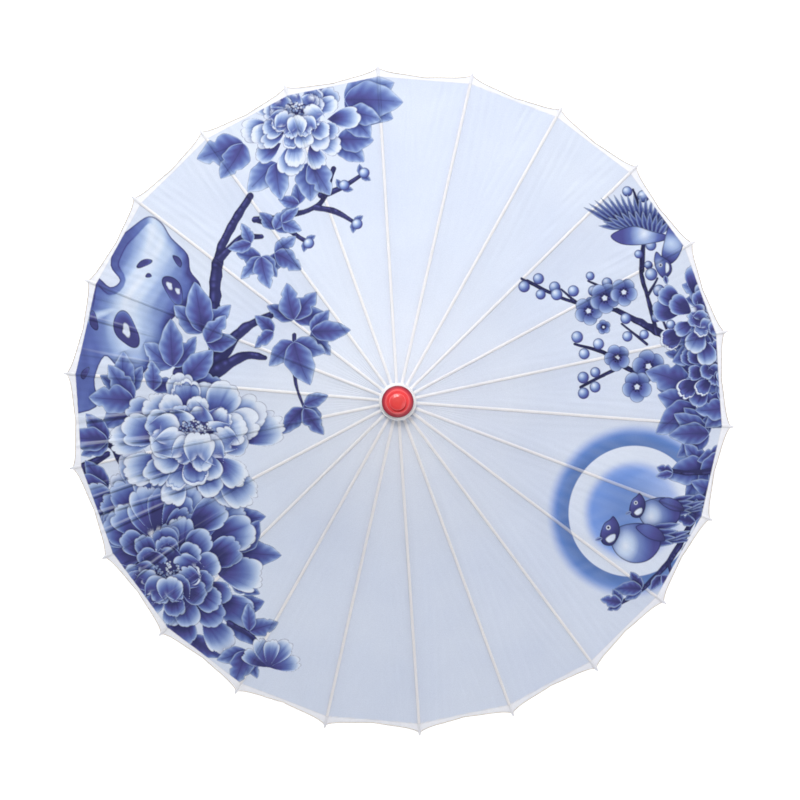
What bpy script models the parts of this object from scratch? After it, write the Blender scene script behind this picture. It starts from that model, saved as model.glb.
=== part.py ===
"""A round cloth umbrella with 22 ribs, stored open. It stands on the end of its handle, and +Z runs up its shaft."""

import math

import bmesh
import bpy
from mathutils import Matrix, Vector

# Driving dimensions, in millimetres and radians
RIBS = 22
FIRST_RIB = math.radians(93.6)
PITCH = 2 * math.pi / RIBS
OPEN_SLOPE = math.radians(22.0)
TOP_PIVOT_Z = 526.0
PIVOT_R = 15.5
LINK = 190.0
RUNNER_PIVOT_Z = TOP_PIVOT_Z - 2 * LINK * math.sin(OPEN_SLOPE)
GAP = 0.3

WIRE_R = 0.55
EYE_R = 0.95
NECK_THICK = 1.8
NECK_LENGTH = 10.0

RIB_LENGTH = 436.0
RIB_UNDER = -1.6
RIB_TOP_NEAR = 3.6
RIB_TOP_TIP = 2.0
RIB_WIDTHS = ((10.0, 3.6), (LINK, 4.2), (RIB_LENGTH, 3.0))
RIB_SLOT_WIDTH = 2.0
RIB_SLOT_ROOF = 2.0
JOINT_PIN_R = 0.55

STRETCHER_WIDTH = 2.8
STRETCHER_DEPTH = 3.2
TONGUE_THICK = 1.4
TONGUE_LENGTH = 30.0
TONGUE_HOLE_R = 0.85

SHAFT_R = 6.0
SHAFT_LOW_Z = 20.0
SHAFT_TOP_Z = 547.0
BORE_R = SHAFT_R + GAP

HUB_R = 18.5
HUB_CORE_R = 12.0
HUB_SLOT_WIDTH = 2.4
HUB_NECK_R = 14.0
HUB_TOP_Z = TOP_PIVOT_Z + 12.0
GROOVE_R = 14.6
GROOVE_HALF = 0.9
RUNNER_LOW_Z = RUNNER_PIVOT_Z - 20.0
RUNNER_TOP_Z = RUNNER_PIVOT_Z + 8.0

CLOTH_THICK = 0.75
CLOTH_INNER_R = 18.95
CLOTH_EDGE_S = 431.0
EDGE_HOLLOW = 3.0
THREAD_R = 0.6

CATCH_X = 1.2
CATCH_Z = RUNNER_LOW_Z - 26.4
CATCH_THICK = 2.4
CATCH_SLOT_WIDTH = 3.0
CATCH_PIN_R = 0.65
STOP_PIN_R = 1.0
STOP_PIN_Z = RUNNER_TOP_Z + 0.4 + STOP_PIN_R

FERRULE_LOW_Z = 110.3
CAP_LOW_Z = HUB_TOP_Z + GAP


def clear_scene():
    for obj in list(bpy.data.objects):
        bpy.data.objects.remove(obj, do_unlink=True)


def material(name, colour, roughness, metallic=0.0, coat=0.0):
    made = bpy.data.materials.new(name)
    made.use_nodes = True
    shader = made.node_tree.nodes["Principled BSDF"]
    shader.inputs["Base Color"].default_value = (*colour, 1.0)
    shader.inputs["Roughness"].default_value = roughness
    shader.inputs["Metallic"].default_value = metallic
    shader.inputs["Coat Weight"].default_value = coat
    made.diffuse_color = (*colour, 1.0)
    return made


def mesh_from(name, points, faces):
    """A mesh in metres from points in millimetres, with every face turned outwards."""
    mesh = bpy.data.meshes.new(name)
    mesh.from_pydata([Vector(p) * 0.001 for p in points], [], faces)
    work = bmesh.new()
    work.from_mesh(mesh)
    bmesh.ops.recalc_face_normals(work, faces=work.faces)
    work.to_mesh(mesh)
    work.free()
    return mesh


def place(name, mesh, slot=None):
    obj = bpy.data.objects.new(name, mesh)
    bpy.context.scene.collection.objects.link(obj)
    if slot is not None and not mesh.materials:
        mesh.materials.append(slot)
    return obj


def lathe_mesh(name, profile, steps, turn=0.0):
    """Turns a closed profile of (radius, z) points about Z. A point at radius 0 becomes one vertex."""
    points = []
    rings = []
    for radius, z in profile:
        if radius == 0:
            rings.append([len(points)] * steps)
            points.append((0.0, 0.0, z))
            continue
        rings.append(list(range(len(points), len(points) + steps)))
        for k in range(steps):
            angle = turn + 2 * math.pi * k / steps
            points.append((radius * math.cos(angle), radius * math.sin(angle), z))
    faces = []
    closed = profile[0][0] > 0
    for i in range(len(rings) if closed else len(rings) - 1):
        low, high = rings[i], rings[(i + 1) % len(rings)]
        for k in range(steps):
            n = (k + 1) % steps
            corners = [low[k], low[n], high[n], high[k]]
            corners = [c for j, c in enumerate(corners) if c not in corners[:j]]
            if len(corners) > 2:
                faces.append(corners)
    return mesh_from(name, points, faces)


def torus_mesh(name, radius, tube_r, height, steps, sides):
    profile = []
    for k in range(sides):
        angle = 2 * math.pi * (k + 0.5) / sides
        profile.append((radius + tube_r * math.cos(angle), height + tube_r * math.sin(angle)))
    return lathe_mesh(name, profile, steps, FIRST_RIB)


def prism_mesh(name, outline, low, high):
    """Extrudes an outline of (x, z) points along Y, from low to high."""
    count = len(outline)
    points = [(x, y, z) for y in (low, high) for x, z in outline]
    faces = [list(range(count)), list(range(count, 2 * count))]
    for k in range(count):
        n = (k + 1) % count
        faces.append([k, n, count + n, count + k])
    return mesh_from(name, points, faces)


def bar_mesh(name, sections):
    """Joins rectangular sections (x, half width, low z, high z) into one bar along X."""
    points = []
    for x, half, low, high in sections:
        points += [(x, -half, low), (x, half, low), (x, half, high), (x, -half, high)]
    faces = [[0, 1, 2, 3], [len(points) - 4 + k for k in range(4)]]
    for i in range(len(sections) - 1):
        for k in range(4):
            n = (k + 1) % 4
            faces.append([4 * i + k, 4 * i + n, 4 * i + 4 + n, 4 * i + 4 + k])
    return mesh_from(name, points, faces)


def rod_mesh(name, radius, start, end, sides=12):
    """A round rod between two points."""
    start, end = Vector(start), Vector(end)
    along = (end - start).normalized()
    side = along.orthogonal().normalized()
    other = along.cross(side)
    points = []
    for centre in (start, end):
        for k in range(sides):
            angle = 2 * math.pi * (k + 0.5) / sides
            points.append(centre + radius * (math.cos(angle) * side + math.sin(angle) * other))
    faces = [list(range(sides)), list(range(sides, 2 * sides))]
    for k in range(sides):
        n = (k + 1) % sides
        faces.append([k, n, sides + n, sides + k])
    return mesh_from(name, points, faces)


def arc(x, z, radius, start_deg, end_deg, steps):
    points = []
    for k in range(steps + 1):
        angle = math.radians(start_deg + (end_deg - start_deg) * k / steps)
        points.append((x + radius * math.cos(angle), z + radius * math.sin(angle)))
    return points


def boolean(obj, other_mesh, operation):
    """Adds an exact Boolean with a hidden helper object."""
    helper = place("helper_" + other_mesh.name, other_mesh)
    helper.hide_render = True
    helper.display_type = "WIRE"
    helper.matrix_world = obj.matrix_world.copy()
    modifier = obj.modifiers.new(operation.lower() + "_" + other_mesh.name, "BOOLEAN")
    modifier.operation = operation
    modifier.solver = "EXACT"
    modifier.object = helper


def settled_mesh(obj):
    """The object's mesh after its modifiers, as plain data. The object and its helpers are removed."""
    bpy.context.view_layer.update()
    evaluated = obj.evaluated_get(bpy.context.evaluated_depsgraph_get())
    mesh = bpy.data.meshes.new_from_object(evaluated)
    helpers = [modifier.object for modifier in obj.modifiers]
    for old in [obj, *helpers]:
        bpy.data.objects.remove(old, do_unlink=True)
    return mesh


def rib_top(s):
    """Height of a rib's top face above its pivot line, s millimetres along it."""
    share = (s - NECK_LENGTH) / (RIB_LENGTH - NECK_LENGTH)
    return RIB_TOP_NEAR + (RIB_TOP_TIP - RIB_TOP_NEAR) * share


def tilted(s, v):
    """(radius, z) of the point s along a rib's pivot line and v above it, with the umbrella open."""
    radius = PIVOT_R + s * math.cos(OPEN_SLOPE) + v * math.sin(OPEN_SLOPE)
    return radius, TOP_PIVOT_Z - s * math.sin(OPEN_SLOPE) + v * math.cos(OPEN_SLOPE)


def around(radius, z, angle):
    return (radius * math.cos(angle), radius * math.sin(angle), z)


def rib_mesh():
    """A rib in its own frame: the pivot at the origin, +X out along the open rib's plan, +Z up."""
    sections = [(s, w / 2, RIB_UNDER, rib_top(s)) for s, w in RIB_WIDTHS[:2]]
    s, w = RIB_WIDTHS[2]
    sections.append((s - 4.0, w / 2, RIB_UNDER + 0.6, rib_top(s - 4.0)))
    sections.append((s, w / 4, RIB_UNDER + 1.6, rib_top(s) - 0.7))
    rib = place("rib_blank", bar_mesh("rib_bar", sections))
    neck = arc(0, 0, 2.4, 95, 265, 8)
    neck += [(2.0, RIB_UNDER), (NECK_LENGTH + 3, RIB_UNDER + 0.2)]
    neck += [(NECK_LENGTH + 3, RIB_TOP_NEAR - 0.3), (3.0, RIB_TOP_NEAR - 0.4)]
    boolean(rib, prism_mesh("rib_neck", neck, -NECK_THICK / 2, NECK_THICK / 2), "UNION")
    boolean(rib, rod_mesh("rib_eye", EYE_R, (0, -3, 0), (0, 3, 0), 10), "DIFFERENCE")
    half = RIB_SLOT_WIDTH / 2
    slot = [(LINK - 5, half, -4, RIB_SLOT_ROOF), (LINK + 34, half, -4, RIB_SLOT_ROOF)]
    boolean(rib, bar_mesh("rib_slot", slot), "DIFFERENCE")
    pin = rod_mesh("rib_pin", JOINT_PIN_R, (LINK, -1.6, 0), (LINK, 1.6, 0), 8)
    boolean(rib, pin, "UNION")
    mesh = settled_mesh(rib)
    mesh.transform(Matrix.Rotation(OPEN_SLOPE, 4, "Y"))
    mesh.name = "rib"
    return mesh


def stretcher_mesh():
    """A stretcher in its own frame: the rib's pin at the origin, -X in towards the runner, +Z up."""
    half = STRETCHER_WIDTH / 2
    ends = (TONGUE_LENGTH, LINK - NECK_LENGTH)
    bar = bar_mesh("stretcher_bar", [(s, half, -STRETCHER_DEPTH, 0) for s in ends])
    stretcher = place("stretcher_blank", bar)
    tongue = arc(0, 0, 1.6, 55, 305, 10)
    tongue += [(TONGUE_LENGTH + 4, -1.4), (TONGUE_LENGTH + 4, -0.4)]
    tongue += [(TONGUE_LENGTH + 0.6, -0.4), (TONGUE_LENGTH - 1, 1.3)]
    tongue_half = TONGUE_THICK / 2
    boolean(stretcher, prism_mesh("stretcher_tongue", tongue, -tongue_half, tongue_half), "UNION")
    head = [(ends[1] - 4, -2.8), (LINK - 3.5, -2.8)]
    head += arc(LINK, 0, 1.9, -120, 130, 9)
    head += [(LINK - 3.5, -0.4), (ends[1] - 4, -0.4)]
    boolean(stretcher, prism_mesh("stretcher_head", head, -NECK_THICK / 2, NECK_THICK / 2), "UNION")
    hole = rod_mesh("stretcher_hole", TONGUE_HOLE_R, (0, -3, 0), (0, 3, 0), 10)
    boolean(stretcher, hole, "DIFFERENCE")
    eye = rod_mesh("stretcher_eye", EYE_R, (LINK, -3, 0), (LINK, 3, 0), 10)
    boolean(stretcher, eye, "DIFFERENCE")
    mesh = settled_mesh(stretcher)
    mesh.transform(Matrix.Rotation(math.pi - OPEN_SLOPE, 4, "Y"))
    mesh.name = "stretcher"
    return mesh


def slot_cutters(name, low_z, high_z):
    """One mesh of 22 boxes, a slot for each rib."""
    half = HUB_SLOT_WIDTH / 2
    work = bmesh.new()
    for i in range(RIBS):
        box = bmesh.ops.create_cube(work, size=1.0)["verts"]
        size = Matrix.Diagonal((0.010, 2 * half * 0.001, (high_z - low_z) * 0.001, 1.0))
        shift = Matrix.Translation(((HUB_CORE_R + 5) * 0.001, 0, (low_z + high_z) * 0.0005))
        turn = Matrix.Rotation(FIRST_RIB + i * PITCH, 4, "Z")
        bmesh.ops.transform(work, matrix=turn @ shift @ size, verts=box)
    mesh = bpy.data.meshes.new(name)
    work.to_mesh(mesh)
    work.free()
    return mesh


def groove_cutter(name, z):
    ends = (GROOVE_R, HUB_R + 3)
    profile = [(ends[0], z - GROOVE_HALF), (ends[1], z - GROOVE_HALF)]
    profile += [(ends[1], z + GROOVE_HALF), (ends[0], z + GROOVE_HALF)]
    return lathe_mesh(name, profile, 2 * RIBS, FIRST_RIB)


def slotted_hub(name, profile, slot_low, slot_high, groove_z, slot):
    hub = place(name, lathe_mesh(name, profile, 2 * RIBS, FIRST_RIB + PITCH / 4), slot)
    boolean(hub, slot_cutters(name + "_slots", slot_low, slot_high), "DIFFERENCE")
    boolean(hub, groove_cutter(name + "_groove", groove_z), "DIFFERENCE")


def edge_points(s_rib, s_middle, lift):
    """Points round the canopy at one height above the ribs, at each rib and halfway between two ribs."""
    points = []
    for k in range(2 * RIBS):
        s = s_middle if k % 2 else s_rib
        radius, z = tilted(s, rib_top(s) + lift)
        if k % 2:
            radius *= math.cos(PITCH / 2)
        points.append(around(radius, z, FIRST_RIB + k * PITCH / 2))
    return points


def canopy_mesh():
    """A closed shell of flat gores, lying just above the ribs."""
    inner_s = (CLOTH_INNER_R - tilted(0, rib_top(0) + GAP)[0]) / math.cos(OPEN_SLOPE)
    middle_s = CLOTH_EDGE_S - EDGE_HOLLOW
    low = [edge_points(inner_s, inner_s, GAP), edge_points(CLOTH_EDGE_S, middle_s, GAP)]
    high = [[(x, y, z + CLOTH_THICK) for x, y, z in ring] for ring in low]
    rings = [low[0], low[1], high[1], high[0]]
    count = 2 * RIBS
    points = [p for ring in rings for p in ring]
    faces = []
    for i in range(4):
        j = (i + 1) % 4
        for k in range(count):
            n = (k + 1) % count
            faces.append([i * count + k, i * count + n, j * count + n, j * count + k])
    return mesh_from("canopy", points, faces)


def thread_mesh():
    """The thread along the canopy's edge, as a six-sided tube that bends at each rib."""
    centres = edge_points(CLOTH_EDGE_S + 1, CLOTH_EDGE_S + 1 - EDGE_HOLLOW, GAP + THREAD_R)
    sides = 6
    points = []
    for x, y, z in centres:
        out = Vector((x, y, 0)).normalized()
        for k in range(sides):
            angle = 2 * math.pi * (k + 0.5) / sides
            rise = Vector((0, 0, THREAD_R * math.sin(angle)))
            points.append(Vector((x, y, z)) + out * THREAD_R * math.cos(angle) + rise)
    faces = []
    for i in range(len(centres)):
        j = (i + 1) % len(centres)
        for k in range(sides):
            n = (k + 1) % sides
            faces.append([i * sides + k, i * sides + n, j * sides + n, j * sides + k])
    return mesh_from("rim_thread", points, faces)


def catch_outline():
    """The lever's side view: round its pin, up inside the shaft, and out to a nose under the runner."""
    top = RUNNER_LOW_Z - 0.4
    outline = arc(CATCH_X, CATCH_Z, 1.9, 180, 360, 8)
    outline += [(3.4, top - 6.75), (8.6, top - 1.75), (8.6, top - 0.55)]
    outline += [(6.0, top), (0.6, top), (0.6, top - 2.75)]
    return outline


def build_frame(wood, dark, bamboo, steel, plastic):
    low, high = SHAFT_LOW_Z, SHAFT_TOP_Z
    profile = [(0, low), (SHAFT_R, low), (SHAFT_R, high), (0, high)]
    shaft = place("shaft", lathe_mesh("shaft", profile, 32), bamboo)
    half = CATCH_SLOT_WIDTH / 2
    window = [(-4.0, half, CATCH_Z - 2.8, RUNNER_LOW_Z + 2)]
    window.append((8.0, half, CATCH_Z - 2.8, RUNNER_LOW_Z + 2))
    boolean(shaft, bar_mesh("catch_window", window), "DIFFERENCE")
    for name, x, z, radius in (
        ("catch_pin", CATCH_X, CATCH_Z, CATCH_PIN_R),
        ("stop_pin", 0, STOP_PIN_Z, STOP_PIN_R),
    ):
        hole = rod_mesh(name + "_hole", radius + 0.2, (x, -8, z), (x, 8, z))
        boolean(shaft, hole, "DIFFERENCE")
        reach = 5.5 if name == "catch_pin" else 10.0
        place(name, rod_mesh(name, radius, (x, -reach, z), (x, reach, z)), steel)

    top = TOP_PIVOT_Z
    profile = [(BORE_R, top - 8), (HUB_R, top - 8), (HUB_R, top + 5), (HUB_NECK_R, top + 5)]
    profile += [(HUB_NECK_R, HUB_TOP_Z), (BORE_R, HUB_TOP_Z)]
    slotted_hub("top_hub", profile, top - 9, top + 3.2, top, wood)
    place("top_hub_wire", torus_mesh("top_hub_wire", PIVOT_R, WIRE_R, top, 3 * RIBS, 6), steel)

    profile = [(12, 6.3), (13.2, 8), (13.6, 14), (12.6, 30), (12.2, 60), (12.8, 88)]
    profile += [(12.4, 102), (11, 110), (BORE_R, 110), (BORE_R, 18), (4.3, 18), (4.3, 6.3)]
    place("handle", lathe_mesh("handle", profile, 36), dark)
    low = FERRULE_LOW_Z
    profile = [(BORE_R, low), (10.6, low), (10.6, low + 4), (9.4, low + 5)]
    profile += [(8.8, low + 11), (8, low + 12), (BORE_R, low + 12)]
    place("handle_ferrule", lathe_mesh("handle_ferrule", profile, 36), plastic)
    profile = [(0, 0), (10.5, 0), (12, 1.5), (12, 6), (4, 6), (4, 16), (0, 16)]
    place("handle_end_cap", lathe_mesh("handle_end_cap", profile, 36), plastic)


def build_runner(wood, steel):
    top = RUNNER_PIVOT_Z
    profile = [(BORE_R, RUNNER_LOW_Z), (11, RUNNER_LOW_Z), (12, RUNNER_LOW_Z + 1.5)]
    profile += [(12, top - 8.5), (17.5, top - 6.5), (HUB_R, top - 5.5)]
    profile += [(HUB_R, RUNNER_TOP_Z), (BORE_R, RUNNER_TOP_Z)]
    slotted_hub("runner", profile, top - 3, RUNNER_TOP_Z + 1, top, wood)
    place("runner_wire", torus_mesh("runner_wire", PIVOT_R, WIRE_R, top, 3 * RIBS, 6), steel)


def build_catch(steel):
    half = CATCH_THICK / 2
    mesh = prism_mesh("catch", catch_outline(), -half, half)
    mesh.transform(Matrix.Translation((-CATCH_X * 0.001, 0, -CATCH_Z * 0.001)))
    catch = place("catch", mesh, steel)
    catch.location = (CATCH_X * 0.001, 0, CATCH_Z * 0.001)
    bpy.context.view_layer.update()
    hole = rod_mesh("catch_hole", CATCH_PIN_R + GAP, (0, -3, 0), (0, 3, 0))
    boolean(catch, hole, "DIFFERENCE")


def build_ribs(bamboo):
    rib, stretcher = rib_mesh(), stretcher_mesh()
    joint_r, joint_z = tilted(LINK, 0)
    for i in range(RIBS):
        angle = FIRST_RIB + i * PITCH
        for name, mesh, radius, z in (
            ("rib", rib, PIVOT_R, TOP_PIVOT_Z),
            ("stretcher", stretcher, joint_r, joint_z),
        ):
            obj = place(f"{name}_{i:02d}", mesh, bamboo)
            obj.location = Vector(around(radius, z, angle)) * 0.001
            obj.rotation_euler = (0, 0, angle)


def build_cover(cloth, thread, white, red):
    place("canopy", canopy_mesh(), cloth)
    place("rim_thread", thread_mesh(), thread)
    top = TOP_PIVOT_Z
    profile = [(14.3, top + 5.4), (18.9, top + 5.4), (18.9, top + 4.1), (22.3, top + 2.7)]
    profile += [(22.6, top + 4.5), (22.5, top + 7), (21.5, top + 9.5), (19.5, top + 11.5)]
    profile += [(17, HUB_TOP_Z), (14.3, HUB_TOP_Z)]
    place("canopy_collar", lathe_mesh("canopy_collar", profile, 2 * RIBS), white)

    low = CAP_LOW_Z
    profile = [(0, low + 9.2), (BORE_R, low + 9.2), (BORE_R, low), (18.4, low), (19, low + 0.6)]
    profile += [(19, low + 4.6), (18.2, low + 5.8), (15.5, low + 7.6), (14.2, low + 8.8)]
    profile += [(13.6, low + 12.4), (12.6, low + 13.2), (2.8, low + 13.2), (2.8, low + 10.4)]
    profile.append((0, low + 10.4))
    place("finial_cap", lathe_mesh("finial_cap", profile, 40), red)
    profile = [(0, low + 10.7), (2.5, low + 10.7), (2.5, low + 13.5), (10, low + 13.5)]
    profile += [(10, low + 16.6), (9.2, low + 17.8), (6, low + 18.8), (0, low + 19.2)]
    place("cap_button", lathe_mesh("cap_button", profile, 32), red)


def main():
    clear_scene()
    bamboo = material("bamboo", (0.66, 0.47, 0.24), 0.5)
    wood = material("hub_wood", (0.42, 0.25, 0.12), 0.5)
    dark = material("handle_wood", (0.16, 0.055, 0.03), 0.3, coat=0.5)
    steel = material("steel", (0.62, 0.62, 0.60), 0.3, metallic=1.0)
    plastic = material("black_plastic", (0.02, 0.02, 0.022), 0.35)
    red = material("red_plastic", (0.52, 0.02, 0.02), 0.25, coat=0.6)
    cloth = material("printed_cloth", (0.72, 0.78, 0.90), 0.75)
    white = material("white_cloth", (0.83, 0.82, 0.79), 0.85)
    thread = material("thread", (0.74, 0.70, 0.62), 0.8)
    build_frame(wood, dark, bamboo, steel, plastic)
    build_runner(wood, steel)
    build_catch(steel)
    build_ribs(bamboo)
    build_cover(cloth, thread, white, red)


main()
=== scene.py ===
from math import cos, dist, hypot, pi, radians, sin, sqrt, tan

import bpy
import numpy as np
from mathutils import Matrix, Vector


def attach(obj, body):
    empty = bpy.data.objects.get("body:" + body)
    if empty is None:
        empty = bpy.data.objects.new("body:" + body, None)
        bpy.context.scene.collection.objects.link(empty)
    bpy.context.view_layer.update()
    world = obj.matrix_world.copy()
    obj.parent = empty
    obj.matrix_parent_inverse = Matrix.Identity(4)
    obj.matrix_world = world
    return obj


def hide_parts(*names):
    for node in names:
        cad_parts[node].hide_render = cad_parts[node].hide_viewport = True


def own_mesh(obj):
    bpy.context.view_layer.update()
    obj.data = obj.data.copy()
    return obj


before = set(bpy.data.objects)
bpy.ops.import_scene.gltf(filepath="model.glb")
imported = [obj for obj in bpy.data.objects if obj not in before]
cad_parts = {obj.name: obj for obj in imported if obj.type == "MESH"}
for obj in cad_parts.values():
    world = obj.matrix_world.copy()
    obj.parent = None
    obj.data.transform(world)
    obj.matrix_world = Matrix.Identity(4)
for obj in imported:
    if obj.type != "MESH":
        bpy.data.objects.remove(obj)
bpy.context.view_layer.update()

# The umbrella's own sizes, in metres, as the CAD has them
RIBS = 22
FIRST_RIB = radians(93.6)
PITCH = 2 * pi / RIBS
SLOPE = radians(22.0)
TOP_Z = 0.526
PIVOT_R = 0.0155
RIB_LENGTH = 0.436
NECK = 0.01
RIB_TOP_NECK = 0.0036
RIB_TOP_TIP = 0.002
R = 0.42
UP = np.array((0.0, 0.0, 1.0))

CLOTH_LIFT = 0.0004
HEM_RADIUS = 0.0009
STRIP_HALF = 0.0023
CLOTH_START = 0.003
CLOTH_END = 0.43
POCKET_END = 0.4345

# Which way the most creased side of the cover faces
CREASED = radians(195.0)

rng = np.random.default_rng(7)
vary = rng.uniform


# ---- camera


def add_object(name, data):
    obj = bpy.data.objects.new(name, data)
    bpy.context.scene.collection.objects.link(obj)
    return obj


def add_camera():
    """Looks straight down from just beside the hub, at a picture one metre wide at the rim's height."""
    distance, rim_height = 3.6, 0.362
    beside_x, beside_y = 0.025, 0.041
    data = bpy.data.cameras.new("camera")
    cam = add_object("camera", data)
    bpy.context.scene.camera = cam
    cam.location = (beside_x, beside_y, rim_height + distance)
    data.lens = data.sensor_width * distance
    data.shift_x = 0.0016 - beside_x
    data.shift_y = -beside_y
    data.clip_start = 0.05
    data.clip_end = 50.0


add_camera()
bpy.context.scene.view_settings.view_transform = "Standard"


# ---- painting the print


# The print is drawn in units of R, on a square grid of cells that reaches SPAN each way from the middle
CELLS = 1900
SPAN = 1.012
CELL = 2 * SPAN / CELLS
STEPS = (np.arange(CELLS) + 0.5) * CELL - SPAN
WHITE = np.array((0.69, 0.76, 0.89))
INK = np.array((0.016, 0.018, 0.07))
NAVY = np.array((0.04, 0.042, 0.165))
VIOLET = np.array((0.075, 0.078, 0.29))
ROYAL = np.array((0.105, 0.15, 0.43))
MID = np.array((0.19, 0.275, 0.56))
SKY = np.array((0.35, 0.465, 0.73))
PALE = np.array((0.54, 0.66, 0.86))
SNOW = np.array((0.76, 0.83, 0.94))
HAZE = np.array((0.078, 0.175, 0.46))


def smooth(low, high, value):
    t = np.clip((value - low) / (high - low), 0, 1)
    return t * t * (3 - 2 * t)


def bell(value):
    """1 at 0, falling away to nothing by about 2 on each side."""
    return np.exp(-(value**2))


def blend(below, above, share):
    """Colours laid over others: share is 0 where only those below show."""
    share = share[..., None]
    return below * (1 - share) + above * share


def ramp(value, *colours):
    """Colours spaced evenly over value 0 to 1."""
    place = np.clip(value, 0, 1) * (len(colours) - 1)
    low = np.minimum(place.astype(int), len(colours) - 2)
    table = np.array(colours)
    return blend(table[low], table[low + 1], place - low)


class Print:
    """The printed picture: a square of colours, and how much of each cell is printed."""

    def __init__(self):
        # Painted highlight: the plain cloth is painted paler towards the hub
        near = 0.5 * smooth(0.5, 0.03, np.hypot(STEPS[:, None], STEPS))
        self.rgb = blend(WHITE, (0.87, 0.92, 1.0), near)
        self.ink = np.zeros((CELLS, CELLS))

    def window(self, x, y, reach):
        """The cells within reach of a point: their slices, and their x and y."""
        spans = []
        for centre in (y, x):
            low = int((centre - reach + SPAN) / CELL)
            high = int((centre + reach + SPAN) / CELL) + 2
            spans.append(slice(min(max(0, low), CELLS - 1), min(max(1, high), CELLS)))
        rows, cols = spans
        return (rows, cols), *np.meshgrid(STEPS[cols], STEPS[rows])

    def lay(self, where, depth, colour, line=0.0014, line_colour=INK, strength=0.75, shade=0.0, solid=1.0):
        """Lays a shape down. depth is the distance inside its edge, and below 0 outside it.

        shade darkens what is printed round it, and solid is the share of what lies below that it hides."""
        cover = smooth(-0.7 * CELL, 0.7 * CELL, depth) * solid
        if shade:
            fall = np.exp(np.minimum(depth, 0) / 0.01) * (depth < 0) * solid
            dim = 1 - shade * fall * self.ink[where]
            self.rgb[where] *= dim[..., None] ** (1.0, 0.92, 0.62)
        if line:
            colour = blend(colour, line_colour, bell((depth - line * 0.4) / line) * strength)
        self.rgb[where] = blend(self.rgb[where], colour, cover)
        self.ink[where] = np.maximum(self.ink[where], cover)


art = Print()


def local(gx, gy, x, y, heading):
    """Cells in a shape's own axes: along its heading, and across it."""
    c, s = cos(heading), sin(heading)
    dx, dy = gx - x, gy - y
    return dx * c + dy * s, dy * c - dx * s


def from_shape(x, y, heading, size):
    """A function from a shape's own units to places on the cover."""
    c, s = cos(heading) * size, sin(heading) * size

    def at(along, across):
        return x + along * c - across * s, y + along * s + across * c

    return at


def curve(points, closed=False, steps=8):
    """A Catmull-Rom line through the points."""
    p = np.array(points, float)
    if closed:
        p = np.vstack([p[-1], p, p[0], p[1]])
    else:
        p = np.vstack([2 * p[0] - p[1], p, 2 * p[-1] - p[-2]])
    t = np.linspace(0, 1, steps, endpoint=False)[:, None]
    pieces = []
    for a, b, c, d in zip(p, p[1:], p[2:], p[3:]):
        bend = (2 * a - 5 * b + 4 * c - d) * t**2 + (3 * b - a - 3 * c + d) * t**3
        pieces.append(0.5 * (2 * b + (c - a) * t + bend))
    if not closed:
        pieces.append(p[-2:-1])
    return np.vstack(pieces)


def nearest(gx, gy, a, b):
    """Distance to the line from a to b, the share of the way along it, and the signed offset to its left."""
    d = b - a
    t = np.clip(((gx - a[0]) * d[0] + (gy - a[1]) * d[1]) / (d @ d + 1e-12), 0, 1)
    px, py = gx - a[0] - t * d[0], gy - a[1] - t * d[1]
    return np.hypot(px, py), t, (d[0] * py - d[1] * px) / (hypot(*d) + 1e-9)


def outlined(points, steps=6):
    """(window, x, y, depth) of the shape inside a closed curve through the points."""
    line = curve(points, True, steps)
    low, high = line.min(0), line.max(0)
    where, gx, gy = art.window(*(low + high) / 2, (high - low).max() / 2 + 0.02)
    gap = np.full(gx.shape, 9.0)
    inside = np.zeros(gx.shape, bool)
    for a, b in zip(line, np.roll(line, -1, 0)):
        gap = np.minimum(gap, nearest(gx, gy, a, b)[0])
        rise = (b[1] - a[1]) or 1e-12
        inside ^= ((a[1] > gy) != (b[1] > gy)) & (gx < a[0] + (gy - a[1]) * (b[0] - a[0]) / rise)
    return where, gx, gy, np.where(inside, gap, -gap)


def petal(x, y, heading, length, spread, tone, lobes=4.0, shade=0.5, lip=0.0, fade=0.0):
    """A fan from its base at x, y, scalloped at its tip.

    tone 0 is pale and 1 is deep, lip is the width of a turned edge, and fade thins the base."""
    where, gx, gy = art.window(x, y, length * 1.12)
    along, across = local(gx, gy, x, y, heading)
    rho = np.hypot(along, across) + 1e-9
    theta = np.arctan2(across, along)
    turn, fine = vary(0, 6.28, 2)
    share = theta / spread
    bent = share + 0.12 * np.sin(3.1 * share + turn)
    limit = np.sqrt(np.clip(1 - np.clip(np.abs(share), 0, 1) ** 2.6, 0, 1))
    scallop = 0.66 * np.abs(np.cos(bent * lobes * 0.5 * pi + fine)) ** 0.42
    scallop = scallop + 0.34 * np.abs(np.cos(bent * lobes * 1.9 + turn + 0.8 * np.sin(5 * bent))) ** 0.5
    deep = 0.14 + 0.06 * np.sin(2.3 * bent + fine)
    edge = length * limit * (1 - deep * (1 - scallop) * (0.4 + 0.6 * limit))
    steep = 1 + 1.2 * smooth(0.75, 1.0, np.abs(share))
    depth = np.where(np.abs(share) < 1, (edge - rho) / steep, -1.0)
    u = rho / (edge + 1e-6)
    groove = (1 - scallop) * smooth(0.25, 0.85, u)
    streak = np.sin(bent * 17 + 1.5 * np.sin(u * 3 + turn)) * np.sin(bent * 7 + fine)
    glow = u ** (1.5 + 1.3 * tone) * (1.12 - 0.3 * tone) + 0.1 * streak * (1 - u) * u
    glow = glow - 0.32 * groove + 0.1 * np.sin(share * 1.4 + turn) - 0.06 * tone
    if lip:
        glow = glow - 0.35 * bell((u - 1 + lip) / 0.05)
        glow = np.where(u > 1 - lip, 0.88, glow)
    rim = smooth(0.013, 0.0, depth) * (1 - 0.25 * tone) * smooth(0.25, 0.6, u)
    glow = np.maximum(np.clip(glow, 0, 0.92), rim * 0.95)
    colour = ramp(glow, NAVY, VIOLET, ROYAL, MID, SKY, PALE, SNOW, SNOW)
    solid = smooth(0.4 * fade, fade, u) if fade else 1.0
    art.lay(where, depth, colour, line=0.0012, line_colour=NAVY, shade=shade, solid=solid)


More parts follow.
